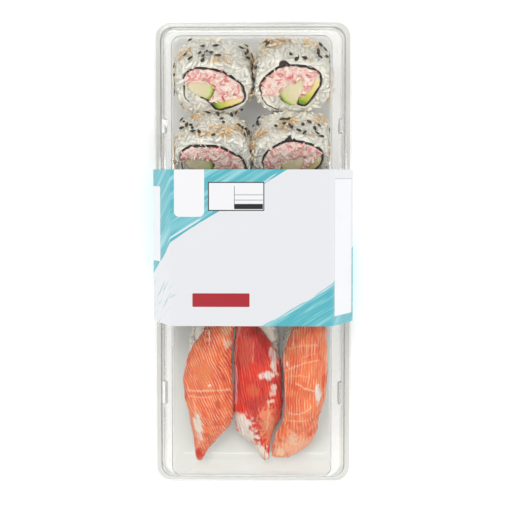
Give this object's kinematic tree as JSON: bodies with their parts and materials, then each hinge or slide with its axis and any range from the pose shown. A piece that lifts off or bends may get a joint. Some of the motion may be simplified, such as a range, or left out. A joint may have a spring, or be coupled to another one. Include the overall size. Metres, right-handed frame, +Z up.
{
  "type": "takeaway sushi tray",
  "caption": "Clear lidded tray in a printed board sleeve, holding seeded inside-out rolls and crab stick nigiri, sealed for takeaway.",
  "frame": {"origin": "middle of the pack's footprint, on the surface that it stands on", "axes": "+Z up, +Y along the pack towards the rolls' end, +X across it"},
  "size_m": [0.1034, 0.238, 0.0432],
  "materials": {
    "tray_plastic": "clear thermoformed sheet",
    "lid_plastic": "clear thermoformed sheet",
    "sleeve_board": "satin, printed in turquoise on off-white",
    "rice": "moist cooked rice, with sesame seeds on the rolls",
    "nori": "dark pressed seaweed",
    "crab_salad": "shredded, moist, pink with red flecks",
    "cucumber": "wet pale flesh with green skin",
    "avocado": "soft, from green at one end to yellow",
    "crab_stick": "fibrous, orange-red with pale streaks"
  },
  "bodies": {
    "root": {"tray": "tray_plastic", "lid": "lid_plastic", "sleeve": "sleeve_board", "roll_1_rice": "rice", "roll_1_nori": "nori", "roll_1_crab": "crab_salad", "roll_1_cucumber": "cucumber", "roll_1_avocado": "avocado", "roll_2_rice": "rice", "roll_2_nori": "nori", "roll_2_crab": "crab_salad", "roll_2_cucumber": "cucumber", "roll_2_avocado": "avocado", "roll_3_rice": "rice", "roll_3_nori": "nori", "roll_3_crab": "crab_salad", "roll_3_cucumber": "cucumber", "roll_3_avocado": "avocado", "roll_4_rice": "rice", "roll_4_nori": "nori", "roll_4_crab": "crab_salad", "roll_4_cucumber": "cucumber", "roll_4_avocado": "avocado", "roll_5_rice": "rice", "roll_5_nori": "nori", "roll_5_crab": "crab_salad", "roll_5_cucumber": "cucumber", "roll_5_avocado": "avocado", "roll_6_rice": "rice", "roll_6_nori": "nori", "roll_6_crab": "crab_salad", "roll_6_cucumber": "cucumber", "roll_6_avocado": "avocado", "nigiri_1_rice": "rice", "nigiri_1_crab_stick": "crab_stick", "nigiri_2_rice": "rice", "nigiri_2_crab_stick": "crab_stick", "nigiri_3_rice": "rice", "nigiri_3_crab_stick": "crab_stick"}
  },
  "joints": []
}
